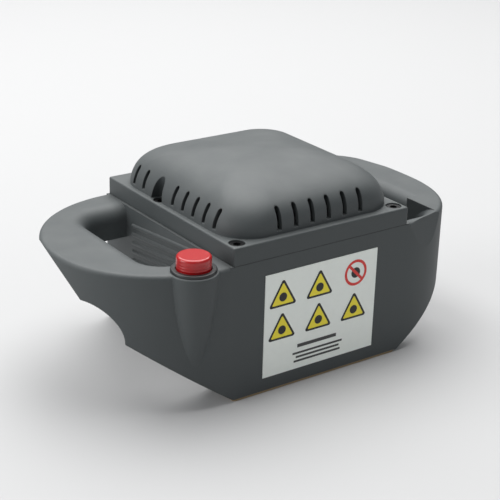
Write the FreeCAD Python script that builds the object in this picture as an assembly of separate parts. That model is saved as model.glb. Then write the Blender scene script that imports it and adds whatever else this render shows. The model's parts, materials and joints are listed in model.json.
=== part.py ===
import FreeCAD, Part
import math
import os
from FreeCAD import Vector

# Hand-held demagnetiser. Millimetres, +Z up. The origin is the middle of the sole's underside.
# The control panel faces -Y and the two hand loops point along -X and +X.

# ---- overall sizes ----
caseHalfX = 64.3           # middle block of the case, half length
caseHalfY = 68.9           # half width of the case and of the cover
leftReach = 72.6           # how far each hand loop stands out from the block
rightReach = 59.4
caseTop = 84.0             # top of the case and of the loops
soleThick = 1.5
coverHigh = 10.85          # height of the cover's flange
domeHigh = 28.1            # height of the dome above the flange

# ---- case ----
caseWallX = 7.3
caseWallY = 6.4
caseFloor = 6.0
topEdgeRound = 2.5
keelHalf = 61.1            # the underside is flat out to here, then rises
keelSlope = 0.72
loopThick = 20.0           # height of the bar of a hand loop
leftHole = 98.0            # from the middle to the inner side of each bar
rightHole = 93.0
leftCurve = 2.05           # exponent of the loops' rounded outline, 2 being an ellipse
rightFront = 2.25
rightRear = 2.9
holeHalfY = 43.5
holeCorner = 14.0
rimRound = 9.0
cheekInner = 47.0          # the front cheek of a loop starts at this distance from the middle
archRound = 21.0
gripInset = 8.4            # a slanted facet trims the bar's lower outer side by this much
gripLevel = 66.0
gripLean = 29.7            # degrees
gripTurn = 12.9
webInner = 57.0            # the right hole runs on to this distance, behind a thin web
webCrest = 61.5
webTurn = 14.6             # the web's outer face is a flat that turns and leans inwards, in degrees
webLean = 7.5
squareRim = 34.0           # in front of this, the right bar's rim is left sharp
squareDeep = 12.0
outlineSteps = 24
ribCount = 9
ribHigh = 1.0
ribWide = 2.6
ribPitch = 5.6
ribTilt = 5.8              # degrees
ribHalf = 37.0

# ---- cover ----
coverHalfX = 62.5
coverWall = 3.5
coverEdgeRound = 1.0
domeHalfX = 59.5
domeHalfY = 64.5
domeCorner = 23.0
domeSections = 14
domeRoundX = 3.16          # exponents of the dome's rounded outline across and along
domeLeanX = 1.96
domeRoundY = 1.9
domeLeanY = 3.36
domeSlim = 0.4             # largest corner radius as a share of a section's half width
frontSlots = 6
frontPitch = 11.6
frontSlotWide = 3.2
frontSlotHigh = 15.5
sideSlots = 9
sidePitch = 10.9
sideSlotWide = 3.0
sideSlotHigh = 13.5
slotDeep = 9.0
scoopR = 6.6
scoopTopR = 2.2
scoopHigh = 18.0
scoopLining = 2.6
slotFoot = 2.2             # the slots start this far above the flange

# ---- cover screws: M5 socket heads in counterbores ----
screwR = 2.5
screwHeadR = 4.25
screwHeadHigh = 5.0
screwSinkR = 4.75
screwSinkDeep = 5.6
screwClear = 0.25
screwLong = 16.0
hexAcross = 4.0
screwX = 56.3
screwY = 62.4
sideScrewY = 17.0
rearScrewY = 63.0
insertR = 3.5
insertHigh = 10.0
bossR = 6.5
bossHigh = 24.0

# ---- core and coils ----
legWide = 24.0
legCentre = 26.5
coreDeep = 56.0
sheetCount = 28
sheetGap = 0.1
yokeHigh = 24.0
coilGap = 0.5
bobbinWall = 2.0
bobbinLow = 10.0
bobbinHigh = 50.5
cheekThick = 2.5
windingThick = 8.0
windingGap = 0.1
poleGap = 0.3
clampThick = 4.0
clampBoltR = 2.5
footHigh = 4.0
footWide = 10.0
ledgeWide = 7.0
ledgeLow = 24.0
ledgeHigh = 36.0
footScrewR = 2.0
blockWays = 4
blockPitch = 8.0
blockFirst = -46.0         # the first way of the terminal block
blockEnd = 4.0
blockDeep = 14.0
blockHigh = 14.0
shelfTop = 66.0
shelfThick = 4.0
leadLevel = 73.0
earthScrewR = 2.0
leadBack = 37.0            # the coil leads leave the bobbins this far from the middle
leadBend = 2.4
leadNotch = 0.3

# ---- push button ----
buttonX = -83.3
buttonY = -61.0
bossTopR = 13.9
bossMidR = 11.5
bossMid = 57.0
bossFootR = 4.8
bossFoot = 26.0
bossRound = 0.8
bezelR = 12.85
bezelHigh = 1.8
cupR = 11.0
cupDeep = 5.0
cupBoreR = 10.2
cupFloor = 1.0
neckR = 6.0
neckLow = 66.0
capR = 9.75
capTop = 93.4
capLow = 84.6
capWall = 1.6
buttonTravel = 3.0
plungerR = 2.6
plungerLow = 61.0
ringHigh = 0.8
ringR = 4.2
switchWide = 9.4
switchDeep = 13.2
switchHigh = 16.0
switchTop = 57.0
switchShift = 5.0          # the switch sits this much further in than the button's axis
pocketGap = 0.3            # between the switch and its pocket, all round
actuatorR = 1.0
actuatorSink = 4.0
terminalHigh = 6.0
leadHoleR = 1.7
leadHoleZ = 28.0
keeperThick = 5.0
keeperPost = 2.2
keeperGap = 0.1

# ---- rear gland ----
glandZ = 36.0
glandThreadR = 8.0
glandHexR = 12.0
glandHexHigh = 5.0
glandNeckR = 7.0
glandNeckLong = 8.0
glandBoreR = 3.75
glandNutR = 11.5
glandNutLong = 15.0
glandInside = 9.0

# ---- front panel, sole screws, small clearances ----
panelLow = 9.9
panelHigh = 64.1
panelLeft = -41.0
panelRight = 40.0
panelThick = 0.4
soleHalfX = 60.2
soleHalfY = 68.3
soleScrewX = 50.0
soleScrewY = 57.0
soleScrewR = 1.75
soleHeadR = 3.4
soleScrewLong = 11.0
fitGap = 0.1
wireR = 1.2

caseLow = soleThick
coverLow = caseTop
flangeTop = coverLow + coverHigh
cavityX = caseHalfX - caseWallX
cavityY = caseHalfY - caseWallY
floorTop = caseLow + caseFloor
ceiling = caseTop - loopThick
bobbinTop = bobbinLow + bobbinHigh
yokeLow = bobbinTop + 1.0
yokeTop = yokeLow + yokeHigh
coreLow = caseLow + 0.2
coreHalfX = legCentre + legWide / 2
footZ = yokeLow + 4.0
clampInner = coreDeep / 2 + 0.05
earthLevel = footZ + 9.0
switchY = buttonY + switchShift


def wayX(k):
    return blockFirst + k * blockPitch


def box(x0, x1, y0, y1, z0, z1):
    return Part.makeBox(x1 - x0, y1 - y0, z1 - z0, Vector(x0, y0, z0))


def rod(radius, x, y, z0, z1):
    return Part.makeCylinder(radius, z1 - z0, Vector(x, y, z0))


def rodY(radius, x, z, y0, y1):
    return Part.makeCylinder(radius, y1 - y0, Vector(x, y0, z), Vector(0, 1, 0))


def rodX(radius, y, z, x0, x1):
    return Part.makeCylinder(radius, x1 - x0, Vector(x0, y, z), Vector(1, 0, 0))


def prism(points, direction):
    """A flat outline swept along a straight line."""
    corners = [Vector(*p) for p in points]
    return Part.Face(Part.makePolygon(corners + corners[:1])).extrude(Vector(*direction))


def hexagon(radius, z0, z1, x=0.0, y=0.0):
    points = []
    for k in range(6):
        angle = math.radians(60 * k)
        points.append((x + radius * math.cos(angle), y + radius * math.sin(angle), z0))
    return prism(points, (0, 0, z1 - z0))


def hexagonY(across, x, z, y0, y1):
    points = []
    for k in range(6):
        angle = math.radians(60 * k)
        radius = across / math.sqrt(3)
        points.append((x + radius * math.cos(angle), y0, z + radius * math.sin(angle)))
    return prism(points, (0, y1 - y0, 0))


def roundedWire(halfX, halfY, corner, z, x=0.0, y=0.0):
    """A rectangle with round corners, as one wire at height z."""
    sx = halfX - corner
    sy = halfY - corner
    edges = []
    starts = [(sx, sy, 0), (-sx, sy, 90), (-sx, -sy, 180), (sx, -sy, 270)]
    ends = []
    for cx, cy, turn in starts:
        points = []
        for step in (0, 45, 90):
            angle = math.radians(turn + step)
            points.append(Vector(x + cx + corner * math.cos(angle), y + cy + corner * math.sin(angle), z))
        ends.append(points)
    for k in range(4):
        a, b, c = ends[k]
        edges.append(Part.Arc(a, b, c).toShape())
        edges.append(Part.LineSegment(c, ends[(k + 1) % 4][0]).toShape())
    return Part.Wire(edges)


def roundedBlock(halfX, halfY, corner, z0, z1, x=0.0, y=0.0):
    face = Part.Face(roundedWire(halfX, halfY, corner, z0, x, y))
    return face.extrude(Vector(0, 0, z1 - z0))


def mirrorX(shape):
    return shape.mirror(Vector(0, 0, 0), Vector(1, 0, 0))


def mirrorY(shape):
    return shape.mirror(Vector(0, 0, 0), Vector(0, 1, 0))


def wire(points, bend, radius=wireR):
    """A round lead along straight runs joined by tangent arcs."""
    pts = [Vector(*p) for p in points]
    edges = []
    start = pts[0]
    for k in range(1, len(pts) - 1):
        before = (pts[k - 1] - pts[k]).normalize()
        after = (pts[k + 1] - pts[k]).normalize()
        turn = math.pi - before.getAngle(after)
        reach = bend * math.tan(turn / 2)
        entry = pts[k] + before * reach
        leave = pts[k] + after * reach
        inward = (before + after).normalize()
        centre = pts[k] + inward * (bend / math.cos(turn / 2))
        middle = centre - inward * bend
        edges.append(Part.LineSegment(start, entry).toShape())
        edges.append(Part.Arc(entry, middle, leave).toShape())
        start = leave
    edges.append(Part.LineSegment(start, pts[-1]).toShape())
    spine = Part.Wire(edges)
    profile = Part.Wire(Part.Circle(pts[0], pts[1] - pts[0], radius).toShape())
    return spine.makePipeShell([profile], True, False)


# ---------------------------------------------------------------- case

def endPlan(z0, z1, reach, front, rear):
    """The D-shaped end of the case on +X, between two heights."""
    points = []
    for k in range(outlineSteps + 1):
        angle = math.pi * (k / outlineSteps - 0.5)
        power = 2 / (front if angle < 0 else rear)
        out = abs(math.cos(angle)) ** power if 0 < k < outlineSteps else 0.0
        aside = math.copysign(abs(math.sin(angle)) ** power, angle)
        points.append(Vector(caseHalfX + reach * out, caseHalfY * aside, z0))
    curve = Part.BSplineCurve()
    curve.interpolate(points)
    corners = [points[-1], Vector(0, caseHalfY, z0), Vector(0, -caseHalfY, z0), points[0]]
    edges = [curve.toShape()] + [Part.LineSegment(corners[k], corners[k + 1]).toShape() for k in range(3)]
    return Part.Face(Part.Wire(edges)).extrude(Vector(0, 0, z1 - z0))


def beyond(turn, lean, spot):
    """The space beyond a slanted plane: its outward normal is turned from +X and leans up, in degrees."""
    across = math.cos(math.radians(lean))
    outward = Vector(across * math.cos(math.radians(turn)), across * math.sin(math.radians(turn)),
                     math.sin(math.radians(lean)))
    block = box(0, 100, -200, 200, -200, 200)
    turn = FreeCAD.Rotation(Vector(1, 0, 0), outward)
    return block.transformGeometry(FreeCAD.Placement(spot, turn).toMatrix())


def loopEnd(reach, front, rear, holeOuter, nearY):
    """One hand loop on +X: bar, front cheek and hand hole, still without the middle block."""
    outline = endPlan(caseLow, caseTop, reach, front, rear)
    top = [e for e in outline.Edges if e.BoundBox.ZMin > caseTop - 1 and e.BoundBox.XMax > caseHalfX + 1]
    solid = outline.makeFillet(topEdgeRound, top)
    solid = solid.common(box(caseHalfX, 200, -200, 200, caseLow - 1, caseTop + 1))
    under = box(caseHalfX - 1, 200, -cheekInner, 200, caseLow - 20, ceiling)
    arch = [e for e in under.Edges
            if abs(e.BoundBox.YMax + cheekInner) < 0.01 and abs(e.BoundBox.ZMin - ceiling) < 0.01]
    solid = solid.cut(under.makeFillet(archRound, arch))
    solid = solid.cut(beyond(gripTurn, -gripLean, Vector(caseHalfX + reach - gripInset, 0, gripLevel)))
    holeMidY = (holeHalfY - nearY) / 2
    holeHalf = (holeHalfY + nearY) / 2
    innerX = caseHalfX - 25.0
    midX = (innerX + holeOuter) / 2
    halfX = (holeOuter - innerX) / 2
    plate = box(0, 200, -200, 200, caseLow - 20, caseTop)
    plate = plate.cut(roundedBlock(halfX, holeHalf, holeCorner, caseLow - 30, caseTop + 1, midX, holeMidY))
    rim = []
    for edge in plate.Edges:
        b = edge.BoundBox
        if abs(b.ZMin - caseTop) < 0.01 and b.XMax < 150 and b.XMin > 1:
            rim.append(edge)
    plate = plate.makeFillet(rimRound, rim)
    if nearY > holeHalfY:
        plate = plate.fuse(box(holeOuter, holeOuter + rimRound + 2, -webCrest, -squareRim,
                               caseTop - squareDeep, caseTop))
    return solid.common(plate)


def keelWedge():
    """The rising part of the underside, on +X."""
    far = 200.0
    return prism([(keelHalf, -200, caseLow), (keelHalf + far, -200, caseLow + far * keelSlope),
                  (keelHalf + far, -200, caseLow - 50), (keelHalf, -200, caseLow - 50)], (0, 400, 0))


def buttonBoss():
    """A bullet-shaped boss: a bowed side line turned about the button's axis."""
    middle = Vector(bossMidR, 0, bossMid)
    side = Part.Arc(Vector(bossTopR, 0, caseTop), middle, Vector(bossFootR, 0, bossFoot))
    foot = Part.LineSegment(Vector(bossFootR, 0, bossFoot), Vector(0, 0, bossFoot))
    axis = Part.LineSegment(Vector(0, 0, bossFoot), Vector(0, 0, caseTop))
    top = Part.LineSegment(Vector(0, 0, caseTop), Vector(bossTopR, 0, caseTop))
    half = Part.Face(Part.Wire([side.toShape(), foot.toShape(), axis.toShape(), top.toShape()]))
    boss = half.revolve(Vector(0, 0, 0), Vector(0, 0, 1), 360)
    rim = [e for e in boss.Edges if e.BoundBox.ZMin > caseTop - 0.01 and e.BoundBox.XLength > bossTopR]
    boss = boss.makeFillet(bossRound, rim)
    boss.translate(Vector(buttonX, buttonY, 0))
    return boss


def buttonPocket():
    pocket = rod(cupR + fitGap, buttonX, buttonY, caseTop - cupDeep, caseTop + 1)
    pocket = pocket.fuse(rod(neckR, buttonX, buttonY, switchTop - 1, caseTop))
    halfX = switchWide / 2 + pocketGap
    halfY = switchDeep / 2 + pocketGap
    return pocket.fuse(box(buttonX - halfX, buttonX + halfX, switchY - halfY, switchY + halfY, 0, switchTop))


def ribs():
    """Grip ridges on the block's side, inside the hand hole on +X."""
    solids = []
    for k in range(ribCount):
        z = caseTop - 7.0 - k * ribPitch
        bar = Part.makeCylinder(ribWide / 2, 2 * ribHalf, Vector(0, -ribHalf, 0), Vector(0, 1, 0))
        bar.rotate(Vector(0, 0, 0), Vector(1, 0, 0), -ribTilt)
        bar.translate(Vector(caseHalfX - ribWide / 2 + ribHigh, 0, z))
        solids.append(bar)
    return solids


def screwPlaces():
    places = [(-screwX, -screwY), (screwX, -screwY), (-screwX, sideScrewY), (screwX, sideScrewY)]
    places.append((0.0, rearScrewY))
    return places


def cavity():
    hollow = roundedBlock(cavityX, cavityY, 4.0, floorTop, caseTop + 1)
    for x, y in screwPlaces():
        hollow = hollow.cut(rod(bossR, x, y, caseTop - bossHigh, caseTop + 2))
    for sx in (-1, 1):
        for sy in (-1, 1):
            x0, x1 = sorted((sx * (cavityX - ledgeWide), sx * (cavityX + 1)))
            y0, y1 = sorted((sy * ledgeLow, sy * ledgeHigh))
            hollow = hollow.cut(box(x0, x1, y0, y1, floorTop - 1, footZ))
            hollow = hollow.cut(rod(5.0, sx * soleScrewX, sy * soleScrewY, floorTop - 1, floorTop + 6))
    shelf = box(wayX(0) - blockEnd, wayX(blockWays - 1) + blockEnd, cavityY - blockDeep, cavityY + 1,
                shelfTop - shelfThick, shelfTop)
    hollow = hollow.cut(shelf)
    return hollow


def housing():
    leftEnd = mirrorX(loopEnd(leftReach, leftCurve, leftCurve, leftHole, holeHalfY))
    rightEnd = loopEnd(rightReach, rightFront, rightRear, rightHole, webInner)
    block = box(-caseHalfX, caseHalfX, -caseHalfY, caseHalfY, caseLow, caseTop)
    body = block.fuse([leftEnd, rightEnd]).removeSplitter()
    wedge = keelWedge()
    body = body.cut([wedge, mirrorX(wedge)])
    body = body.cut(beyond(webTurn - 90, webLean, Vector(caseHalfX, -caseHalfY, caseTop)).common(
        box(caseHalfX, 200, -200, 0, caseLow, caseTop + 5)))
    boss = buttonBoss().cut(mirrorX(wedge))
    body = body.fuse(boss)
    body = body.fuse(ribs())
    body = body.fuse([mirrorX(r) for r in ribs()])
    body = body.cut(cavity())
    body = body.cut(buttonPocket())
    for side in (-1, 1):
        body = body.cut(rodX(leadHoleR, terminalY(side), leadHoleZ, buttonX, -cavityX + 2))
    for x, y in screwPlaces():
        body = body.cut(rod(insertR, x, y, caseTop - insertHigh, caseTop + 1))
        body = body.cut(rod(screwR + screwClear, x, y, caseTop - bossHigh + 6, caseTop))
    for side in (-1, 1):
        x = side * legCentre
        half = legWide / 2 + poleGap
        deep = coreDeep / 2 + poleGap
        body = body.cut(box(x - half, x + half, -deep, deep, 0, floorTop + 1))
        for sy in (-1, 1):
            body = body.cut(rod(soleScrewR, side * soleScrewX, sy * soleScrewY, 0, soleScrewLong))
            hole = rod(footScrewR, side * (cavityX - footWide / 2 + 1.5), sy * (ledgeLow + ledgeHigh) / 2,
                       footZ - 12, footZ + 1)
            body = body.cut(hole)
    body = body.cut(rodY(glandThreadR + fitGap, 0, glandZ, cavityY - 1, caseHalfY + 1))
    return body


# ---------------------------------------------------------------- cover

def domeSolid(take):
    """The domed top, with every side taken in by the same amount."""
    wires = []
    high = domeHigh - take
    for k in range(domeSections):
        along = math.cos(math.pi / 2 * k / domeSections)
        rise = (1 - along ** domeRoundY) ** (1 / domeLeanY)
        across = (1 - rise ** domeLeanX) ** (1 / domeRoundX)
        halfX = (domeHalfX - take) * across
        halfY = (domeHalfY - take) * along
        corner = min(domeCorner - take / 2, halfX * domeSlim, halfY * domeSlim)
        wires.append(roundedWire(halfX, halfY, corner, flangeTop + rise * high))
    return Part.makeLoft(wires, True, False)


def slotCutter(wide, high, deep):
    """An upright slot with a round top, cutting towards +Y from y = 0."""
    half = wide / 2
    slot = box(-half, half, -2, deep, slotFoot, high - half)
    return slot.fuse(rodY(half, 0, high - half, -2, deep))


def ventCutters():
    cutters = []
    for k in range(frontSlots):
        x = (k - (frontSlots - 1) / 2) * frontPitch
        slot = slotCutter(frontSlotWide, frontSlotHigh, slotDeep)
        slot.translate(Vector(x, -domeHalfY, flangeTop))
        cutters.append(slot)
        if abs(x) > scoopR + frontSlotWide:
            cutters.append(mirrorY(slot))
    for k in range(sideSlots):
        y = (k - (sideSlots - 1) / 2) * sidePitch
        if abs(y - sideScrewY) < sidePitch:
            continue
        slot = slotCutter(sideSlotWide, sideSlotHigh, slotDeep)
        slot.rotate(Vector(0, 0, 0), Vector(0, 0, 1), -90)
        slot.translate(Vector(-domeHalfX, y, flangeTop))
        cutters.append(slot)
        cutters.append(mirrorX(slot))
    return cutters


def scoopPlaces():
    return [(-screwX - 1.0, sideScrewY), (screwX + 1.0, sideScrewY), (0.0, rearScrewY + 1.0)]


def topCover():
    flange = box(-coverHalfX, coverHalfX, -caseHalfY, caseHalfY, coverLow, flangeTop)
    edges = [e for e in flange.Edges if e.BoundBox.ZMin > coverLow + 0.5 or e.BoundBox.ZLength > 1]
    flange = flange.makeFillet(coverEdgeRound, edges)
    dome = domeSolid(0.0)
    outer = flange.fuse(dome)
    inner = roundedBlock(cavityX - 1, cavityY - 1, 4.0, coverLow - 1, flangeTop - coverWall)
    inner = inner.fuse(domeSolid(coverWall).fuse(
        roundedBlock(domeHalfX - coverWall, domeHalfY - coverWall, domeCorner - coverWall / 2,
                     flangeTop - coverWall - 1, flangeTop)))
    for x, y in screwPlaces():
        inner = inner.cut(rod(bossR, x, y, coverLow - 2, flangeTop))
    for x, y in scoopPlaces():
        inner = inner.cut(rod(scoopR + scoopLining, x, y, coverLow - 2, flangeTop + domeHigh))
    cover = outer.cut(inner)
    for x, y in scoopPlaces():
        cover = cover.cut(Part.makeCone(scoopR, scoopTopR, scoopHigh, Vector(x, y, flangeTop)))
    cover = cover.cut(ventCutters())
    for x, y in screwPlaces():
        cover = cover.cut(rod(screwSinkR, x, y, flangeTop - screwSinkDeep, flangeTop + 1))
        cover = cover.cut(rod(screwR + screwClear, x, y, coverLow - 1, flangeTop))
    return cover


def coverScrews():
    solids = []
    seat = flangeTop - screwSinkDeep
    for x, y in screwPlaces():
        screw = rod(screwHeadR, x, y, seat, seat + screwHeadHigh)
        screw = screw.fuse(rod(screwR, x, y, seat - screwLong, seat))
        across = hexAcross / math.sqrt(3)
        screw = screw.cut(hexagon(across, seat + screwHeadHigh - 2.6, seat + screwHeadHigh + 1, x, y))
        solids.append(screw)
    return solids


def threadedInserts():
    solids = []
    for x, y in screwPlaces():
        sleeve = rod(insertR, x, y, caseTop - insertHigh, caseTop - 0.2)
        solids.append(sleeve.cut(rod(screwR, x, y, caseTop - insertHigh - 1, caseTop)))
    return solids


# ---------------------------------------------------------------- sole

def solePlate():
    plate = roundedBlock(soleHalfX, soleHalfY, 2.0, 0, soleThick)
    for sx in (-1, 1):
        for sy in (-1, 1):
            x = sx * soleScrewX
            y = sy * soleScrewY
            plate = plate.cut(rod(soleHeadR + fitGap, x, y, -1, soleThick + 1))
    return plate


def soleScrews():
    solids = []
    for sx in (-1, 1):
        for sy in (-1, 1):
            x = sx * soleScrewX
            y = sy * soleScrewY
            screw = rod(soleHeadR, x, y, 0.2, soleThick)
            screw = screw.fuse(rod(soleScrewR - 0.05, x, y, soleThick, soleScrewLong - 1))
            slot = box(x - 2.4, x + 2.4, y - 0.4, y + 0.4, 0, 0.8)
            solids.append(screw.cut(slot))
    return solids


def frontPanel():
    return box(panelLeft, panelRight, -caseHalfY - panelThick, -caseHalfY, panelLow, panelLow + panelHigh)


# ---------------------------------------------------------------- core and coils

def coreSheets():
    """The U-shaped sheets of the core, stacked along Y with both poles on the sole."""
    pitch = coreDeep / sheetCount
    solids = []
    for k in range(sheetCount):
        y = -coreDeep / 2 + k * pitch + sheetGap / 2
        inner = legCentre - legWide / 2
        outline = [(-coreHalfX, y, coreLow), (-inner, y, coreLow), (-inner, y, yokeLow), (inner, y, yokeLow),
                   (inner, y, coreLow), (coreHalfX, y, coreLow), (coreHalfX, y, yokeTop),
                   (-coreHalfX, y, yokeTop)]
        sheet = prism(outline, (0, pitch - sheetGap, 0))
        for side in (-1, 1):
            sheet = sheet.cut(rodY(clampBoltR + 0.2, side * legCentre, yokeTop - 7, y - 1, y + pitch + 1))
        solids.append(sheet)
    return solids


def clampBar():
    """The rear clamp bar: an upright plate on the yoke with a foot at each end."""
    y0 = clampInner
    y1 = y0 + clampThick
    half = cavityX - 0.5
    bar = box(-coreHalfX, coreHalfX, y0, y1, footZ, yokeTop - 2)
    bar = bar.fuse(box(-half, half, y0, y1, footZ, footZ + footHigh))
    for side in (-1, 1):
        x0, x1 = sorted((side * half, side * (half - footWide)))
        bar = bar.fuse(box(x0, x1, ledgeLow, ledgeHigh, footZ, footZ + footHigh))
        bar = bar.cut(rodY(clampBoltR + 0.2, side * legCentre, yokeTop - 7, y0 - 1, y1 + 1))
        x = side * (cavityX - footWide / 2 + 1.5)
        bar = bar.cut(rod(footScrewR + 0.2, x, (ledgeLow + ledgeHigh) / 2, footZ - 1, footZ + footHigh + 1))
    return bar.cut(rodY(earthScrewR, 0, earthLevel, y0 - 1, y1 + 1))


def footScrews():
    solids = []
    for sx in (-1, 1):
        for sy in (-1, 1):
            x = sx * (cavityX - footWide / 2 + 1.5)
            y = sy * (ledgeLow + ledgeHigh) / 2
            screw = rod(3.4, x, y, footZ + footHigh, footZ + footHigh + 2.6)
            screw = screw.fuse(rod(footScrewR - 0.05, x, y, footZ - 10, footZ + footHigh))
            solids.append(screw.cut(hexagon(1.6, footZ + footHigh + 1.2, footZ + footHigh + 3, x, y)))
    return solids


def clampBolts():
    solids = []
    outer = clampInner + clampThick
    for side in (-1, 1):
        x = side * legCentre
        z = yokeTop - 7
        bolt = rodY(clampBoltR, x, z, -outer, outer + 6)
        solids.append(bolt.fuse(hexagonY(8.0, x, z, -outer - 3.5, -outer)))
    return solids


def clampNuts():
    solids = []
    outer = clampInner + clampThick
    for side in (-1, 1):
        x = side * legCentre
        z = yokeTop - 7
        nut = hexagonY(8.0, x, z, outer, outer + 4)
        solids.append(nut.cut(rodY(clampBoltR, x, z, outer - 1, outer + 5)))
    return solids


def bobbin():
    """The coil former on the +X leg."""
    inX = legWide / 2 + coilGap
    inY = coreDeep / 2 + coilGap
    tube = roundedBlock(inX + bobbinWall, inY + bobbinWall, 3.0, bobbinLow, bobbinTop, legCentre)
    outX = inX + bobbinWall + windingThick + 0.5
    outY = inY + bobbinWall + windingThick + 0.5
    for z in (bobbinLow, bobbinTop - cheekThick):
        tube = tube.fuse(roundedBlock(outX, outY, 5.0, z, z + cheekThick, legCentre))
    tube = tube.cut(roundedBlock(inX, inY, 1.0, bobbinLow - 1, bobbinTop + 1, legCentre))
    for x in (legCentre - 3.5, legCentre + 3.5):
        for sy in (-1, 1):
            reach = wireR + leadNotch
            y0, y1 = sorted((sy * (leadBack - reach), sy * (outY + 1)))
            tube = tube.cut(box(x - reach, x + reach, y0, y1, bobbinTop - cheekThick - 1, bobbinTop + 1))
    return tube


def winding():
    inX = legWide / 2 + coilGap + bobbinWall + windingGap
    inY = coreDeep / 2 + coilGap + bobbinWall + windingGap
    z0 = bobbinLow + cheekThick + windingGap
    z1 = bobbinTop - cheekThick - windingGap
    outer = roundedBlock(inX + windingThick - 0.2, inY + windingThick - 0.2, 9.0, z0, z1, legCentre)
    return outer.cut(roundedBlock(inX, inY, 3.0, z0 - 1, z1 + 1, legCentre))


def windingFrontY():
    return -(coreDeep / 2 + coilGap + bobbinWall + windingGap + windingThick - 0.2)


def thermalCutout():
    y = windingFrontY() - 0.1
    can = box(-legCentre - 6, -legCentre + 6, y - 6, y, 26, 42)
    tabs = [box(-legCentre + x - 1, -legCentre + x + 1, y - 4, y - 3.2, 42, 49) for x in (-3.5, 3.5)]
    return can.fuse(tabs)


def terminalBlock():
    """A four-way block on the rear shelf, with wire entries to the front and screws on top."""
    y1 = cavityY - fitGap
    y0 = y1 - blockDeep
    block = box(wayX(0) - blockEnd, wayX(blockWays - 1) + blockEnd, y0, y1, shelfTop, shelfTop + blockHigh)
    for k in range(blockWays):
        block = block.cut(rod(2.6, wayX(k), y0 + blockDeep / 2, leadLevel + 2, shelfTop + blockHigh + 1))
        block = block.cut(rodY(wireR + 0.1, wayX(k), leadLevel, y0 - 1, y0 + 5))
    return block


def terminalScrews():
    solids = []
    y = cavityY - fitGap - blockDeep / 2
    top = shelfTop + blockHigh - 1
    for k in range(blockWays):
        x = wayX(k)
        screw = rod(2.5, x, y, leadLevel + 2, top)
        solids.append(screw.cut(box(x - 3, x + 3, y - 0.4, y + 0.4, top - 0.8, top + 1)))
    return solids


# ---------------------------------------------------------------- push button

def buttonBezel():
    """Bezel, cup and threaded neck of the push button, in one piece."""
    top = caseTop + bezelHigh
    low = caseTop - cupDeep
    ring = rod(bezelR, buttonX, buttonY, caseTop + 0.02, top)
    edges = [e for e in ring.Edges if abs(e.BoundBox.ZMin - top) < 0.01]
    ring = ring.makeFillet(0.9, edges)
    ring = ring.fuse(rod(cupR, buttonX, buttonY, low, caseTop + 1))
    ring = ring.cut(rod(cupBoreR, buttonX, buttonY, low + cupFloor, top + 1))
    ring = ring.fuse(rod(neckR, buttonX, buttonY, neckLow, low + cupFloor))
    return ring.cut(rod(plungerR + 0.06, buttonX, buttonY, neckLow - 1, top))


def buttonCap():
    cap = rod(capR, buttonX, buttonY, capLow, capTop)
    edges = [e for e in cap.Edges if abs(e.BoundBox.ZMin - capTop) < 0.01]
    cap = cap.makeFillet(1.6, edges)
    return cap.cut(rod(capR - capWall, buttonX, buttonY, capLow - 1, capTop - 2.4))


def buttonPlunger():
    return rod(plungerR, buttonX, buttonY, plungerLow, capTop - 2.4)


def retainingRing():
    z1 = neckLow - 0.3
    ring = rod(ringR, buttonX, buttonY, z1 - ringHigh, z1)
    ring = ring.cut(rod(plungerR, buttonX, buttonY, z1 - 3, z1 + 1))
    return ring.cut(box(buttonX - 1.4, buttonX + 1.4, buttonY - 10, buttonY, z1 - 3, z1 + 1))


def returnSpring():
    """The return spring, coiled round the plunger inside the cap."""
    low = caseTop - cupDeep + cupFloor
    high = capTop - 2.4
    turns = 4
    gauge = 0.5
    radius = 5.2
    pitch = (high - low - 2 * gauge - 0.2) / turns
    helix = Part.makeHelix(pitch, pitch * turns, radius)
    start = Vector(radius, 0, 0)
    profile = Part.Wire(Part.Circle(start, Vector(0, 1, pitch / (2 * math.pi * radius)), gauge).toShape())
    coil = Part.Wire(helix.Edges).makePipeShell([profile], True, True)
    coil.translate(Vector(buttonX, buttonY, low + gauge + 0.1))
    return coil


def switchBody():
    half = switchWide / 2
    y0 = switchY - switchDeep / 2
    body = box(buttonX - half, buttonX + half, y0, y0 + switchDeep, switchTop - switchHigh, switchTop)
    low = switchTop - actuatorSink - buttonTravel - 1
    well = rod(actuatorR + fitGap, buttonX, buttonY, low, switchTop + 1)
    return body.cut(well)


def switchActuator():
    return rod(actuatorR, buttonX, buttonY, switchTop - actuatorSink, plungerLow)


def terminalY(side):
    return switchY + side * 3.0


def switchTerminals():
    low = switchTop - switchHigh
    solids = []
    for side in (-1, 1):
        y = terminalY(side)
        solids.append(box(buttonX - 1.6, buttonX + 1.6, y - 0.4, y + 0.4, low - terminalHigh, low))
    return solids


def switchKeeper():
    """Closes the switch pocket flush with the rising underside, and holds the switch up on two posts."""
    halfX = switchWide / 2 + pocketGap - keeperGap
    halfY = switchDeep / 2 + pocketGap - keeperGap
    top = switchTop - switchHigh
    column = box(buttonX - halfX, buttonX + halfX, switchY - halfY, switchY + halfY, 0, top)
    wedge = mirrorX(keelWedge())
    raised = mirrorX(keelWedge())
    raised.translate(Vector(0, 0, keeperThick))
    gap = box(buttonX - halfX - 1, buttonX + halfX + 1, switchY - halfY + keeperPost,
              switchY + halfY - keeperPost, 0, switchTop)
    return column.cut(wedge).cut(gap.cut(raised))


# ---------------------------------------------------------------- rear gland

def glandBody():
    y0 = cavityY - glandInside
    y1 = caseHalfY + glandHexHigh
    body = rodY(glandThreadR, 0, glandZ, y0, caseHalfY)
    body = body.fuse(hexagonY(2 * glandHexR * 0.92, 0, glandZ, caseHalfY, y1))
    body = body.fuse(rodY(glandNeckR, 0, glandZ, y1, y1 + glandNeckLong))
    return body.cut(rodY(5.2, 0, glandZ, y0 - 1, y1 + glandNeckLong + 1))


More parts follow.
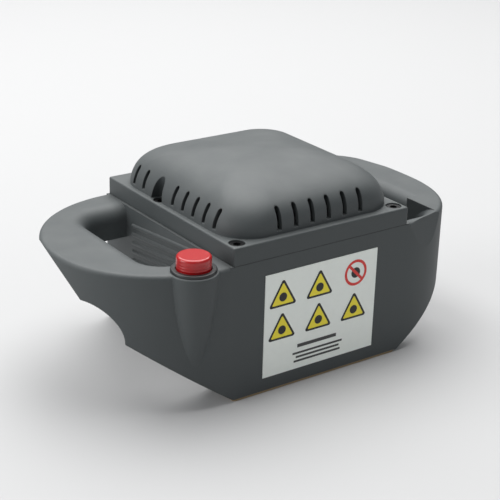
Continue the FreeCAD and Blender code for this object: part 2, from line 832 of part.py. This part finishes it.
def glandSeal():
    y1 = caseHalfY + glandHexHigh + glandNeckLong
    seal = rodY(5.1, 0, glandZ, caseHalfY, y1 + 2)
    return seal.cut(rodY(glandBoreR, 0, glandZ, caseHalfY - 1, y1 + 3))


def glandNut():
    y0 = caseHalfY + glandHexHigh + 0.5
    y1 = y0 + glandNutLong
    nut = hexagonY(2 * glandNutR * 0.9, 0, glandZ, y0, y0 + 8)
    dome = Part.makeCone(glandNutR * 0.88, glandBoreR + 2.2, glandNutLong - 8, Vector(0, y0 + 8, glandZ),
                         Vector(0, 1, 0))
    nut = nut.fuse(dome)
    nut = nut.cut(rodY(glandNeckR, 0, glandZ, y0 - 1, y0 + 7.6))
    nut = nut.cut(rodY(5.2, 0, glandZ, y0 + 7, y0 + 10.2))
    return nut.cut(rodY(glandBoreR + 0.35, 0, glandZ, y0, y1 + 1))


def glandLockNut():
    y1 = cavityY
    nut = hexagonY(22.0, 0, glandZ, y1 - 4, y1)
    return nut.cut(rodY(glandThreadR, 0, glandZ, y1 - 5, y1 + 1))


# ---------------------------------------------------------------- earth and leads

def earthTag():
    y = clampInner + clampThick
    tag = rodY(4.0, 0, earthLevel, y, y + 0.8)
    tag = tag.fuse(box(-2.0, 2.0, y, y + 0.8, footZ - 2, earthLevel))
    return tag.cut(rodY(earthScrewR, 0, earthLevel, y - 1, y + 2))


def earthScrew():
    y = clampInner + clampThick
    screw = rodY(3.4, 0, earthLevel, y + 0.8, y + 3.0)
    screw = screw.fuse(rodY(earthScrewR, 0, earthLevel, clampInner + 0.2, y + 0.8))
    return screw.cut(box(-4, 4, y + 2.2, y + 4, earthLevel - 0.4, earthLevel + 0.4))


def switchLeads():
    """Two leads from the switch, through the wall, up the case and back to the terminal block."""
    low = switchTop - switchHigh - terminalHigh
    solids = []
    for side, lane, way in ((-1, -46.0, 0), (1, -42.5, 1)):
        y = terminalY(side)
        stop = cavityY - fitGap - blockDeep + 4.5
        points = [(buttonX, y, low), (buttonX, y, leadHoleZ), (lane, y, leadHoleZ), (lane, y, leadLevel)]
        points.append((lane, 36.0, leadLevel))
        if abs(lane - wayX(way)) > 0.1:
            points.append((wayX(way), 36.0 + abs(lane - wayX(way)), leadLevel))
        else:
            points.pop()
        points.append((wayX(way), stop, leadLevel))
        solids.append(wire(points, leadBend))
    return solids


def coilLeads():
    """Leads from the coils to the terminal block, and through the thermal cut-out between the coils."""
    near = legCentre - 3.5
    far = legCentre + 3.5
    stop = cavityY - fitGap - blockDeep + 4.5
    start = bobbinTop - cheekThick - windingGap
    tabY = windingFrontY() - 3.7
    cross = yokeLow + 5
    runs = [[(-far, leadBack, start), (-far, leadBack, leadLevel), (-far, stop, leadLevel)]]
    runs.append([(near, leadBack, start), (near, leadBack, leadLevel), (wayX(3), leadBack, leadLevel),
                 (wayX(3), stop, leadLevel)])
    runs.append([(-far, -leadBack, start), (-far, -leadBack, cross),
                 (-far, tabY, cross), (-far, tabY, 49)])
    runs.append([(near, -leadBack, start), (near, -leadBack, cross), (near, tabY, cross), (-near, tabY, cross),
                 (-near, tabY, 49)])
    return [wire(points, leadBend) for points in runs]


nodes = {
    "housing": housing,
    "top_cover": topCover,
    "cover_screws": coverScrews,
    "threaded_inserts": threadedInserts,
    "sole_plate": solePlate,
    "sole_screws": soleScrews,
    "front_panel": frontPanel,
    "core_laminations": coreSheets,
    "core_clamp_rear": clampBar,
    "core_clamp_front": lambda: mirrorY(clampBar()),
    "core_foot_screws": footScrews,
    "core_clamp_bolts": clampBolts,
    "core_clamp_nuts": clampNuts,
    "bobbin_right": bobbin,
    "bobbin_left": lambda: mirrorX(bobbin()),
    "winding_right": winding,
    "winding_left": lambda: mirrorX(winding()),
    "thermal_cutout": thermalCutout,
    "terminal_block": terminalBlock,
    "terminal_screws": terminalScrews,
    "button_bezel": buttonBezel,
    "button_cap": buttonCap,
    "button_plunger": buttonPlunger,
    "retaining_ring": retainingRing,
    "return_spring": returnSpring,
    "switch_body": switchBody,
    "switch_actuator": switchActuator,
    "switch_terminals": switchTerminals,
    "switch_keeper": switchKeeper,
    "gland_body": glandBody,
    "gland_seal": glandSeal,
    "gland_dome_nut": glandNut,
    "gland_lock_nut": glandLockNut,
    "earth_tag": earthTag,
    "earth_screw": earthScrew,
    "switch_leads": switchLeads,
    "coil_leads": coilLeads,
}

os.makedirs("parts", exist_ok=True)
for name, make in nodes.items():
    made = make()
    shape = Part.makeCompound(made) if isinstance(made, list) else made
    shape.exportStep("parts/" + name + ".step")
    print(name, len(shape.Solids), round(shape.Volume, 1), shape.isValid())
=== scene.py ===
import json
import math
import bpy
import bmesh
from mathutils import Matrix, Vector


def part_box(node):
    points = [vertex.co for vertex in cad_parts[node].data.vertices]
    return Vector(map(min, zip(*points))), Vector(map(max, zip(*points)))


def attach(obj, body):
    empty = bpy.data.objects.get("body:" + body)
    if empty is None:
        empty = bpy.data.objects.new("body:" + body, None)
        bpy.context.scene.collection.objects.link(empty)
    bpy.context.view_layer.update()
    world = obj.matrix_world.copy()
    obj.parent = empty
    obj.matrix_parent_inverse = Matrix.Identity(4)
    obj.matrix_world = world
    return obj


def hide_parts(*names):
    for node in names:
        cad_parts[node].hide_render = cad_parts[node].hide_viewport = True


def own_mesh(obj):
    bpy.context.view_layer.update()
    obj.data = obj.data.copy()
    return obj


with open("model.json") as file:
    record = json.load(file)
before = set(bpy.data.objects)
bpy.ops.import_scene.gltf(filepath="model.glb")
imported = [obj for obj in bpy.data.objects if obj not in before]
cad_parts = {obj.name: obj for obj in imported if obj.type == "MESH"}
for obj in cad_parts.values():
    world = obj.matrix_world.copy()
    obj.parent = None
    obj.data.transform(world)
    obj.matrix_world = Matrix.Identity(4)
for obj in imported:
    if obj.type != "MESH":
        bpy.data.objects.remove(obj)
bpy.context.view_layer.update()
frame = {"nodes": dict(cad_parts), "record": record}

nodes = frame["nodes"]
print("frame loaded:", len(nodes), "nodes")


# ---- small helpers for shader and geometry trees

def link(tree, source, target):
    tree.links.new(source, target)


def addNode(tree, kind, **values):
    node = tree.nodes.new(kind)
    for key, value in values.items():
        setattr(node, key, value)
    return node


def mathNode(tree, operation, first, second=None, third=None, clamp=False):
    node = addNode(tree, "ShaderNodeMath", operation=operation, use_clamp=clamp)
    for index, value in enumerate((first, second, third)):
        if value is None:
            continue
        if isinstance(value, (int, float)):
            node.inputs[index].default_value = value
        else:
            link(tree, value, node.inputs[index])
    return node.outputs[0]


def mixColor(tree, factor, first, second):
    node = addNode(tree, "ShaderNodeMix", data_type="RGBA")
    for socket, value in ((node.inputs[0], factor), (node.inputs[6], first), (node.inputs[7], second)):
        if isinstance(value, (int, float)):
            socket.default_value = value
        elif isinstance(value, tuple):
            socket.default_value = (*value, 1.0)
        else:
            link(tree, value, socket)
    return node.outputs[2]


def newGroup(name, kind, inputs, outputs):
    group = bpy.data.node_groups.new(name, kind)
    for label, socketType, value in inputs:
        socket = group.interface.new_socket(label, in_out="INPUT", socket_type=socketType)
        if value is not None:
            socket.default_value = value
    for label, socketType in outputs:
        group.interface.new_socket(label, in_out="OUTPUT", socket_type=socketType)
    start = addNode(group, "NodeGroupInput")
    end = addNode(group, "NodeGroupOutput")
    return group, start, end


def useGroup(tree, group, **values):
    node = addNode(tree, "ShaderNodeGroup", node_tree=group)
    for label, value in values.items():
        socket = node.inputs[label]
        if isinstance(value, (int, float)):
            socket.default_value = value
        else:
            link(tree, value, socket)
    return node


# ---- shared surface effects

# Moulded grain: a fine pebble, a soft mottle and faint upright draw marks
def grainGroup():
    group, start, end = newGroup(
        "mouldedGrain", "ShaderNodeTree",
        [("Vector", "NodeSocketVector", None), ("Grain Size", "NodeSocketFloat", 1800.0),
         ("Streaks", "NodeSocketFloat", 0.4)],
        [("Height", "NodeSocketFloat"), ("Tone", "NodeSocketFloat")])
    pebble = addNode(group, "ShaderNodeTexNoise")
    pebble.inputs["Detail"].default_value = 2.0
    link(group, start.outputs["Vector"], pebble.inputs["Vector"])
    link(group, start.outputs["Grain Size"], pebble.inputs["Scale"])
    mottle = addNode(group, "ShaderNodeTexNoise")
    mottle.inputs["Scale"].default_value = 38.0
    mottle.inputs["Detail"].default_value = 5.0
    link(group, start.outputs["Vector"], mottle.inputs["Vector"])
    squeeze = addNode(group, "ShaderNodeMapping")
    squeeze.inputs["Scale"].default_value = (1.0, 1.0, 0.02)
    link(group, start.outputs["Vector"], squeeze.inputs["Vector"])
    streak = addNode(group, "ShaderNodeTexNoise")
    streak.inputs["Scale"].default_value = 420.0
    streak.inputs["Detail"].default_value = 1.0
    link(group, squeeze.outputs[0], streak.inputs["Vector"])
    drawn = mathNode(group, "MULTIPLY", streak.outputs[0], start.outputs["Streaks"])
    link(group, mathNode(group, "ADD", pebble.outputs[0], drawn), end.inputs["Height"])
    uneven = mathNode(group, "MULTIPLY_ADD", mottle.outputs[0], 0.7, 0.15)
    link(group, mathNode(group, "MULTIPLY_ADD", drawn, 0.35, uneven), end.inputs["Tone"])
    return group


# Finds edges by comparing a rounded normal with the true one; its mask paints a highlight along them
def edgeGroup():
    group, start, end = newGroup(
        "edgeHighlight", "ShaderNodeTree",
        [("Radius", "NodeSocketFloat", 0.0008), ("Gain", "NodeSocketFloat", 6.0)],
        [("Mask", "NodeSocketFloat"), ("Normal", "NodeSocketVector")])
    rounded = addNode(group, "ShaderNodeBevel", samples=4)
    link(group, start.outputs["Radius"], rounded.inputs["Radius"])
    surface = addNode(group, "ShaderNodeNewGeometry")
    dot = addNode(group, "ShaderNodeVectorMath", operation="DOT_PRODUCT")
    link(group, rounded.outputs[0], dot.inputs[0])
    link(group, surface.outputs["Normal"], dot.inputs[1])
    turned = mathNode(group, "SUBTRACT", 1.0, dot.outputs["Value"], clamp=True)
    patchy = addNode(group, "ShaderNodeTexNoise")
    patchy.inputs["Scale"].default_value = 240.0
    place = addNode(group, "ShaderNodeTexCoord")
    link(group, place.outputs["Object"], patchy.inputs["Vector"])
    strong = mathNode(group, "MULTIPLY", turned, start.outputs["Gain"])
    link(group, mathNode(group, "MULTIPLY", strong, patchy.outputs[0], clamp=True), end.inputs["Mask"])
    link(group, rounded.outputs[0], end.inputs["Normal"])
    return group


# Painted top light: a speckled lighter tone on faces that look up
def topLightGroup():
    group, start, end = newGroup(
        "paintedTopLight", "ShaderNodeTree",
        [("Amount", "NodeSocketFloat", 0.3)], [("Mask", "NodeSocketFloat")])
    surface = addNode(group, "ShaderNodeNewGeometry")
    split = addNode(group, "ShaderNodeSeparateXYZ")
    link(group, surface.outputs["Normal"], split.inputs[0])
    upward = mathNode(group, "MULTIPLY_ADD", split.outputs[2], 1.4, -0.4, clamp=True)
    place = addNode(group, "ShaderNodeTexCoord")
    cloud = addNode(group, "ShaderNodeTexNoise")
    cloud.inputs["Scale"].default_value = 60.0
    cloud.inputs["Detail"].default_value = 6.0
    link(group, place.outputs["Object"], cloud.inputs["Vector"])
    speckled = mathNode(group, "MULTIPLY", upward, cloud.outputs[0])
    link(group, mathNode(group, "MULTIPLY", speckled, start.outputs["Amount"]), end.inputs["Mask"])
    return group


mouldedGrain = grainGroup()
edgeHighlight = edgeGroup()
paintedTopLight = topLightGroup()


# ---- materials

def startMaterial(name):
    material = bpy.data.materials.new(name)
    material.use_nodes = True
    tree = material.node_tree
    shader = tree.nodes["Principled BSDF"]
    place = addNode(tree, "ShaderNodeTexCoord").outputs["Object"]
    return material, tree, shader, place


# Grained plastic with soft edges, a painted highlight along its edges, painted top light on faces that
# look up and a painted shade line at 84 mm height
def mouldedPlastic(name, look):
    material, tree, shader, place = startMaterial(name)
    grain = useGroup(tree, mouldedGrain, **{"Vector": place, "Grain Size": look["grain"],
                                            "Streaks": look["streaks"]})
    edges = useGroup(tree, edgeHighlight, Radius=look["edge"], Gain=look["highlightGain"])
    topLight = useGroup(tree, paintedTopLight, Amount=look["topLight"])
    toned = mixColor(tree, grain.outputs["Tone"], look["dark"], look["light"])
    # painted highlight: edges are mixed towards a lighter grey, broken up by noise
    highlighted = mixColor(tree, edges.outputs["Mask"], toned, look["highlightColor"])
    # painted top light: faces that look up are mixed towards a lighter grey
    paintedBaseColor = mixColor(tree, topLight.outputs["Mask"], highlighted, look["topLightColor"])
    height = addNode(tree, "ShaderNodeSeparateXYZ")
    link(tree, place, height.inputs[0])
    # painted shade: a thin dark line on upright faces at 84 mm height, along the top step of the case
    away = mathNode(tree, "ABSOLUTE", mathNode(tree, "SUBTRACT", height.outputs[2], look["shadeLineHeight"]))
    near = mathNode(tree, "SUBTRACT", 1.0, mathNode(tree, "DIVIDE", away, look["shadeLineHalf"]), clamp=True)
    surface = addNode(tree, "ShaderNodeNewGeometry")
    facing = addNode(tree, "ShaderNodeSeparateXYZ")
    link(tree, surface.outputs["Normal"], facing.inputs[0])
    lean = mathNode(tree, "ABSOLUTE", facing.outputs[2])
    upright = mathNode(tree, "LESS_THAN", lean, look["shadeLineLean"])
    paintedBaseColor = mixColor(tree, mathNode(tree, "MULTIPLY", near, upright), paintedBaseColor, look["shadeLineColor"])
    link(tree, paintedBaseColor, shader.inputs["Base Color"])
    rough = mathNode(tree, "MULTIPLY_ADD", grain.outputs["Tone"], look["roughSpread"], look["rough"])
    link(tree, rough, shader.inputs["Roughness"])
    bump = addNode(tree, "ShaderNodeBump")
    bump.inputs["Strength"].default_value = look["bump"]
    bump.inputs["Distance"].default_value = look["bumpDeep"]
    link(tree, grain.outputs["Height"], bump.inputs["Height"])
    link(tree, edges.outputs["Normal"], bump.inputs["Normal"])
    link(tree, bump.outputs[0], shader.inputs["Normal"])
    shader.inputs["Specular IOR Level"].default_value = look["shine"]
    return material


plainLook = {"roughSpread": 0.15, "bumpDeep": 0.0001}


# One even material with a little uneven tone, for the small pieces
def plainSurface(name, color, rough, metal=0.0, coat=0.0, grain=900.0, bump=0.12, spread=0.25):
    material, tree, shader, place = startMaterial(name)
    noise = addNode(tree, "ShaderNodeTexNoise")
    noise.inputs["Scale"].default_value = grain
    link(tree, place, noise.inputs["Vector"])
    darker = tuple(c * (1 - spread) for c in color)
    link(tree, mixColor(tree, noise.outputs[0], darker, color), shader.inputs["Base Color"])
    uneven = mathNode(tree, "MULTIPLY_ADD", noise.outputs[0], plainLook["roughSpread"], rough)
    link(tree, uneven, shader.inputs["Roughness"])
    rise = addNode(tree, "ShaderNodeBump")
    rise.inputs["Strength"].default_value = bump
    rise.inputs["Distance"].default_value = plainLook["bumpDeep"]
    link(tree, noise.outputs[0], rise.inputs["Height"])
    link(tree, rise.outputs[0], shader.inputs["Normal"])
    shader.inputs["Metallic"].default_value = metal
    shader.inputs["Coat Weight"].default_value = coat
    return material


# Glossy cap plastic with a few fine rings round its side
def cappedPlastic(name, look):
    material, tree, shader, place = startMaterial(name)
    height = addNode(tree, "ShaderNodeSeparateXYZ")
    link(tree, place, height.inputs[0])
    phase = mathNode(tree, "MULTIPLY", height.outputs[2], 2 * math.pi / look["ringPitch"])
    wave = mathNode(tree, "SINE", phase)
    below = mathNode(tree, "LESS_THAN", height.outputs[2], look["ringHeight"])
    rise = addNode(tree, "ShaderNodeBump")
    rise.inputs["Strength"].default_value = look["bump"]
    rise.inputs["Distance"].default_value = look["bumpDeep"]
    link(tree, mathNode(tree, "MULTIPLY", wave, below), rise.inputs["Height"])
    link(tree, rise.outputs[0], shader.inputs["Normal"])
    shader.inputs["Base Color"].default_value = (*look["color"], 1.0)
    shader.inputs["Roughness"].default_value = look["rough"]
    shader.inputs["Subsurface Weight"].default_value = look["glow"]
    shader.inputs["Subsurface Radius"].default_value = look["glowReach"]
    shader.inputs["Coat Weight"].default_value = look["coat"]
    shader.inputs["Coat Roughness"].default_value = look["coatRough"]
    return material


# The 84 mm line colour is painted shade.
# The colour for faces that look up is painted top light.
# The edge colour in these looks is a painted highlight.
caseLook = {
    "dark": (0.050, 0.058, 0.060), "light": (0.068, 0.077, 0.079), "highlightColor": (0.16, 0.175, 0.178),
    "topLightColor": (0.25, 0.26, 0.25), "topLight": 0.22, "grain": 1500.0, "streaks": 0.45, "edge": 0.0009,
    "highlightGain": 3.0, "rough": 0.5, "roughSpread": 0.14, "bump": 0.16, "bumpDeep": 0.0002, "shine": 0.5,
    "shadeLineHeight": 0.084, "shadeLineHalf": 0.00045, "shadeLineLean": 0.3, "shadeLineColor": (0.012, 0.013, 0.014)}
coverLook = dict(caseLook)
coverLook.update({"streaks": 0.1, "topLight": 0.26, "bump": 0.2})
capLook = {
    "color": (0.42, 0.002, 0.004), "ringHeight": 0.0905, "ringPitch": 0.0016, "bump": 0.35,
    "bumpDeep": 0.0003, "rough": 0.3, "glow": 0.05, "glowReach": (0.004, 0.001, 0.001),
    "coat": 0.4, "coatRough": 0.12}

slotMaterials = {
    "case_plastic": mouldedPlastic("casePlastic", caseLook),
    "cover_plastic": mouldedPlastic("coverPlastic", coverLook),
    "black_steel": plainSurface("blackSteel", (0.012, 0.012, 0.013), 0.32, metal=0.4, spread=0.3),
    "plain_steel": plainSurface("plainSteel", (0.6, 0.6, 0.58), 0.3, metal=1.0),
    "brass_parts": plainSurface("brassParts", (0.72, 0.52, 0.24), 0.3, metal=1.0),
    "sole_laminate": plainSurface("soleLaminate", (0.42, 0.3, 0.17), 0.6, grain=260.0),
    "panel_foil": plainSurface("panelFoil", (0.93, 0.97, 0.92), 0.38, coat=0.15, grain=300.0,
                               bump=0.03, spread=0.05),
    "core_steel": plainSurface("coreSteel", (0.3, 0.31, 0.33), 0.35, metal=1.0),
    "bobbin_plastic": plainSurface("bobbinPlastic", (0.62, 0.58, 0.48), 0.5),
    "copper_wire": plainSurface("copperWire", (0.5, 0.17, 0.06), 0.3, metal=0.8),
    "bezel_plastic": plainSurface("bezelPlastic", (0.02, 0.021, 0.022), 0.34, coat=0.1),
    "red_plastic": cappedPlastic("redPlastic", capLook),
    "switch_plastic": plainSurface("switchPlastic", (0.02, 0.02, 0.02), 0.45),
    "seal_rubber": plainSurface("sealRubber", (0.02, 0.02, 0.02), 0.7),
    "lead_sleeve": plainSurface("leadSleeve", (0.05, 0.07, 0.3), 0.35)}

for entry in frame["record"]["subparts"]:
    piece = nodes[entry["node"]]
    piece.data.materials.clear()
    piece.data.materials.append(slotMaterials[entry["material_slot"]])


# ---- print on the front panel: plain signs and bars, with no lettering

signLook = {
    "left": -0.0285, "pitch": 0.02625, "across": 3, "ringColumn": 2, "topRow": 0.0585, "rowPitch": 0.0206,
    "size": 0.0116, "border": 0.0013, "corner": 0.0012, "lift": 0.00008, "step": 0.00006,
    "ringRadius": 0.0082, "ringWide": 0.0017, "ringShift": 0.0002, "ringRise": 0.003, "ringSteps": 64,
    "barSlant": -45, "dotRadius": 0.0033, "dotStep": 15, "dotSink": 0.000018,
    "signDot": 0.24, "rounding": 5,
    "barRows": (
        (0.0245, -0.0168, 0.0118, 0.0022),
        (0.0199, -0.0200, 0.0165, 0.0013),
        (0.0173, -0.0176, 0.0142, 0.0013),
        (0.0147, -0.0190, 0.0152, 0.0013))}

inkBlack = plainSurface("inkBlack", (0.012, 0.012, 0.012), 0.4, spread=0.1, bump=0.0)
inkYellow = plainSurface("inkYellow", (0.95, 0.8, 0.03), 0.36, coat=0.1, spread=0.05, bump=0.0)
inkRed = plainSurface("inkRed", (0.75, 0.03, 0.02), 0.38, coat=0.1, spread=0.05, bump=0.0)
inkGrey = plainSurface("inkGrey", (0.06, 0.062, 0.06), 0.45, spread=0.1, bump=0.0)


# Warning-style triangles on a grid of points: a dark plate, a lighter plate and a plain dot
def signTree(look):
    group, start, end = newGroup(
        "signRows", "GeometryNodeTree",
        [("Geometry", "NodeSocketGeometry", None), ("Size", "NodeSocketFloat", look["size"]),
         ("Border", "NodeSocketFloat", look["border"]), ("Skip Index", "NodeSocketInt", 0)],
        [("Geometry", "NodeSocketGeometry")])
    index = addNode(group, "GeometryNodeInputIndex")
    keep = addNode(group, "FunctionNodeCompare", data_type="INT", operation="NOT_EQUAL")
    link(group, index.outputs[0], keep.inputs[2])
    link(group, start.outputs["Skip Index"], keep.inputs[3])
    join = addNode(group, "GeometryNodeJoinGeometry")

    def plate(radius, lift, material, vertices, rounding):
        ring = addNode(group, "GeometryNodeCurvePrimitiveCircle", mode="RADIUS")
        ring.inputs["Resolution"].default_value = vertices
        link(group, radius, ring.inputs["Radius"])
        soft = addNode(group, "GeometryNodeFilletCurve", mode="POLY")
        soft.inputs["Count"].default_value = look["rounding"]
        soft.inputs["Radius"].default_value = rounding
        link(group, ring.outputs[0], soft.inputs[0])
        filled = addNode(group, "GeometryNodeFillCurve")
        link(group, soft.outputs[0], filled.inputs[0])
        moved = addNode(group, "GeometryNodeTransform")
        moved.inputs["Rotation"].default_value = (0.0, 0.0, math.radians(90))
        moved.inputs["Translation"].default_value = (0.0, 0.0, lift)
        link(group, filled.outputs[0], moved.inputs["Geometry"])
        painted = addNode(group, "GeometryNodeSetMaterial")
        painted.inputs["Material"].default_value = material
        link(group, moved.outputs[0], painted.inputs[0])
        placed = addNode(group, "GeometryNodeInstanceOnPoints")
        link(group, start.outputs["Geometry"], placed.inputs["Points"])
        link(group, keep.outputs[0], placed.inputs["Selection"])
        link(group, painted.outputs[0], placed.inputs["Instance"])
        link(group, placed.outputs[0], join.inputs[0])

    inner = addNode(group, "ShaderNodeMath", operation="SUBTRACT")
    link(group, start.outputs["Size"], inner.inputs[0])
    double = addNode(group, "ShaderNodeMath", operation="MULTIPLY")
    link(group, start.outputs["Border"], double.inputs[0])
    double.inputs[1].default_value = 2.0
    link(group, double.outputs[0], inner.inputs[1])
    dot = addNode(group, "ShaderNodeMath", operation="MULTIPLY")
    link(group, start.outputs["Size"], dot.inputs[0])
    dot.inputs[1].default_value = look["signDot"]
    plate(start.outputs["Size"], 0.0, inkBlack, 3, look["corner"])
    plate(inner.outputs[0], look["step"], inkYellow, 3, look["corner"] * 0.5)
    plate(dot.outputs[0], 2 * look["step"], inkBlack, 12, look["corner"] * 0.1)
    real = addNode(group, "GeometryNodeRealizeInstances")
    link(group, join.outputs[0], real.inputs[0])
    link(group, real.outputs[0], end.inputs[0])
    return group


# Converts an object with modifiers into a plain mesh object and removes the source
def plainMesh(name, source):
    graph = bpy.context.evaluated_depsgraph_get()
    mesh = bpy.data.meshes.new_from_object(source.evaluated_get(graph), depsgraph=graph)
    made = bpy.data.objects.new(name, mesh)
    bpy.context.scene.collection.objects.link(made)
    bpy.data.objects.remove(source)
    return made


def panelPrint(look):
    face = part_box("front_panel")[0].y - look["lift"]
    seeds = bpy.data.meshes.new("signSeeds")
    points = []
    for row in range(2):
        for column in range(look["across"]):
            x = look["left"] + column * look["pitch"]
            points.append((x, look["topRow"] - row * look["rowPitch"], 0.0))
    seeds.from_pydata(points, [], [])
    holder = bpy.data.objects.new("signSeeds", seeds)
    bpy.context.scene.collection.objects.link(holder)
    tree = signTree(look)
    modifier = holder.modifiers.new("signs", "NODES")
    modifier.node_group = tree
    for item in tree.interface.items_tree:
        if item.name == "Skip Index" and item.in_out == "INPUT":
            modifier[item.identifier] = look["ringColumn"]
    signs = plainMesh("panel_signs", holder)
    spin = Matrix.Rotation(math.radians(90), 4, "X")
    signs.data.transform(Matrix.Translation((0, face, 0)) @ spin)
    return signs


def flatStrip(mesh, corners, materialIndex):
    vertices = [mesh.verts.new(corner) for corner in corners]
    made = mesh.faces.new(vertices)
    made.material_index = materialIndex


# The stop sign's ring and bar, and the plain bars that stand in for lines of text
def panelBars(look):
    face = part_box("front_panel")[0].y - look["lift"]
    mesh = bmesh.new()
    for height, x0, x1, thick in look["barRows"]:
        flatStrip(mesh, [(x0, face, height - thick / 2), (x1, face, height - thick / 2),
                         (x1, face, height + thick / 2), (x0, face, height + thick / 2)], 0)
    x = look["left"] + look["ringColumn"] * look["pitch"] + look["ringShift"]
    middle = Vector((x, face, look["topRow"] + look["ringRise"]))
    steps = look["ringSteps"]
    outer = look["ringRadius"]
    inner = outer - look["ringWide"]
    for k in range(steps):
        ring = []
        for turn, radius in ((k, outer), (k + 1, outer), (k + 1, inner), (k, inner)):
            angle = 2 * math.pi * turn / steps
            ring.append(middle + Vector((radius * math.cos(angle), 0, radius * math.sin(angle))))
        flatStrip(mesh, ring, 1)
    slant = math.radians(look["barSlant"])
    along = Vector((math.cos(slant), 0, math.sin(slant)))
    aside = Vector((-along.z, 0, along.x)) * (look["ringWide"] / 2)
    raised = Vector((0, -look["step"], 0))
    flatStrip(mesh, [middle - along * inner - aside + raised, middle + along * inner - aside + raised,
                     middle + along * inner + aside + raised, middle - along * inner + aside + raised], 1)
    plate = []
    for degrees in range(0, 360, look["dotStep"]):
        angle = math.radians(degrees)
        across = look["dotRadius"] * math.cos(angle)
        plate.append(middle + Vector((across, look["dotSink"], look["dotRadius"] * math.sin(angle))))
    flatStrip(mesh, plate, 2)
    data = bpy.data.meshes.new("panel_bars")
    mesh.to_mesh(data)
    mesh.free()
    for material in (inkGrey, inkRed, inkBlack):
        data.materials.append(material)
    made = bpy.data.objects.new("panel_bars", data)
    bpy.context.scene.collection.objects.link(made)
    return made


# Turns every flat face of the print to look at -Y
def faceOutward(piece):
    mesh = bmesh.new()
    mesh.from_mesh(piece.data)
    mesh.normal_update()
    wrong = [f for f in mesh.faces if f.normal.y > 0]
    bmesh.ops.reverse_faces(mesh, faces=wrong)
    mesh.to_mesh(piece.data)
    mesh.free()


for piece in (panelPrint(signLook), panelBars(signLook)):
    faceOutward(piece)
    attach(piece, "case")
print("panel print made")


# ---- return spring, copied from the CAD part with its doubled points merged

springLook = {"travel": 0.003, "merge": 0.000001}


def closingSpring(look):
    mesh = bmesh.new()
    mesh.from_mesh(nodes["return_spring"].data)
    bmesh.ops.remove_doubles(mesh, verts=mesh.verts, dist=look["merge"])
    data = bpy.data.meshes.new("spring_coil")
    mesh.to_mesh(data)
    mesh.free()
    data.materials.append(slotMaterials["plain_steel"])
    spring = bpy.data.objects.new("spring_coil", data)
    bpy.context.scene.collection.objects.link(spring)
    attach(spring, "case")
    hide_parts("return_spring")
    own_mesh(spring)


closingSpring(springLook)
print("spring made")


# ---- camera, floor and light

viewPlace = {
    "place": (-0.43339, -0.6007, 0.36272), "yaw": -35.64, "pitch": 22.469, "roll": 1.628,
    "lens": 93.527, "sensor": 36.0}


def makeCamera(look):
    data = bpy.data.cameras.new("camera")
    data.lens = look["lens"]
    data.sensor_width = look["sensor"]
    camera = bpy.data.objects.new("camera", data)
    bpy.context.scene.collection.objects.link(camera)
    yaw, pitch, roll = (math.radians(look[key]) for key in ("yaw", "pitch", "roll"))
    back = Vector((math.sin(yaw) * math.cos(pitch), -math.cos(yaw) * math.cos(pitch), math.sin(pitch)))
    right = (-back).cross(Vector((0, 0, 1))).normalized()
    up = right.cross(-back)
    across = right * math.cos(roll) + up * math.sin(roll)
    upright = up * math.cos(roll) - right * math.sin(roll)
    turned = Matrix((across, upright, back)).transposed().to_4x4()
    camera.matrix_world = Matrix.Translation(look["place"]) @ turned
    bpy.context.scene.camera = camera


studioLook = {
    "floor": (0.5, 0.5, 0.5), "rough": 0.75, "far": 4.0, "rise": 2.5, "bend": 0.8, "bendSteps": 12,
    "wide": 6.0, "turn": -35, "sky": (0.93, 0.96, 1.0, 1.0), "world": 0.24}


# A pale floor that curves up into a backdrop behind the object
def makeStudio(look):
    profile = [(-look["far"], 0.0), (look["far"] - look["bend"], 0.0)]
    for k in range(1, look["bendSteps"] + 1):
        angle = math.radians(90 * k / look["bendSteps"])
        profile.append((look["far"] - look["bend"] + look["bend"] * math.sin(angle),
                        look["bend"] * (1 - math.cos(angle))))
    profile.append((look["far"], look["rise"]))
    vertices = []
    faces = []
    for y, z in profile:
        vertices += [(-look["wide"], y, z), (look["wide"], y, z)]
    for k in range(len(profile) - 1):
        faces.append((2 * k, 2 * k + 1, 2 * k + 3, 2 * k + 2))
    mesh = bpy.data.meshes.new("floor")
    mesh.from_pydata(vertices, [], faces)
    mesh.transform(Matrix.Rotation(math.radians(look["turn"]), 4, "Z"))
    floor = bpy.data.objects.new("floor", mesh)
    bpy.context.scene.collection.objects.link(floor)
    for polygon in mesh.polygons:
        polygon.use_smooth = True
    material, tree, shader, place = startMaterial("paleFloor")
    shader.inputs["Base Color"].default_value = (*look["floor"], 1.0)
    shader.inputs["Roughness"].default_value = look["rough"]
    mesh.materials.append(material)
    world = bpy.data.worlds.new("studio")
    world.use_nodes = True
    background = world.node_tree.nodes["Background"]
    background.inputs[0].default_value = look["sky"]
    background.inputs[1].default_value = look["world"]
    bpy.context.scene.world = world


lampTarget = (0, 0, 0.06)
lampLook = {
    "overhead": {"place": (0.25, 0.65, 1.8), "size": 2.4, "energy": 78.0},
    "left": {"place": (-1.7, 0.5, 0.7), "size": 1.1, "energy": 15.0},
    "front": {"place": (-0.2, -1.8, 0.9), "size": 1.0, "energy": 2.0}}


def makeLamp(name, look):
    data = bpy.data.lights.new(name, "AREA")
    data.size = look["size"]
    data.energy = look["energy"]
    lamp = bpy.data.objects.new(name, data)
    bpy.context.scene.collection.objects.link(lamp)
    lamp.location = look["place"]
    aim = Vector(lampTarget) - Vector(look["place"])
    lamp.rotation_euler = aim.to_track_quat("-Z", "Y").to_euler()


bpy.context.scene.view_settings.view_transform = "Standard"
makeCamera(viewPlace)
makeStudio(studioLook)
for lampName, lampValues in lampLook.items():
    makeLamp(lampName, lampValues)
print("camera, floor and lamps placed")
